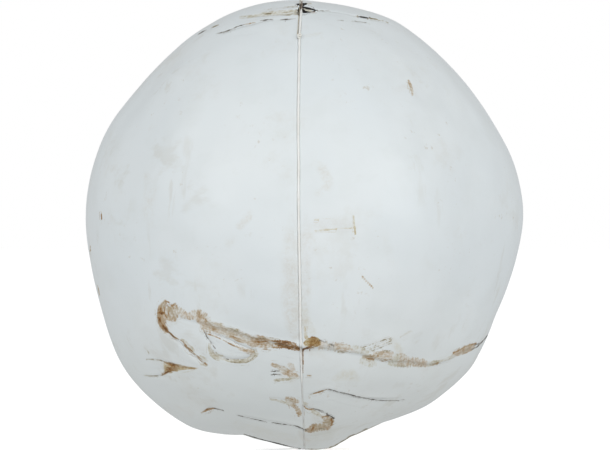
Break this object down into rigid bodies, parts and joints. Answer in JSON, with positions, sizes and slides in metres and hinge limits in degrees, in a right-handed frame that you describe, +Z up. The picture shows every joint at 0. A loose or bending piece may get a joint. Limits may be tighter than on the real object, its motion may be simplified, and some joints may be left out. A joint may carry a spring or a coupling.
{
  "type": "medicine ball",
  "caption": "Worn white stuffed medicine ball, slack and slightly lopsided, with a raised welted seam over front and back, buckle creases, and a weighted core bag inside.",
  "frame": {"origin": "middle of the bounding box's bottom face, on the floor under the ball", "axes": "+Z up, +X to the right-hand cover half, -Y to the front, where the seam's hand-closed end shows near the top; the seam circle lies close to the YZ plane"},
  "size_m": [0.3394, 0.3354, 0.3477],
  "materials": {
    "cover": "white coated, satin, scuffed",
    "welt": "cream, rubbed",
    "thread": "waxed",
    "tape": "twill",
    "lining": "plain weave",
    "padding": "felted fibre",
    "canvas": "canvas",
    "ballast": "granular, loose",
    "cord": "twisted"
  },
  "bodies": {
    "root": {"cover_left": "cover", "cover_right": "cover", "seam_welt": "welt", "needle_thread": "thread", "bobbin_thread": "thread", "seam_tape": "tape", "lining_left": "lining", "lining_right": "lining", "closing_thread": "thread", "closing_knot": "thread", "padding_left": "padding", "padding_right": "padding", "core_bag": "canvas", "core_fill": "ballast", "core_tie": "cord"}
  },
  "joints": []
}
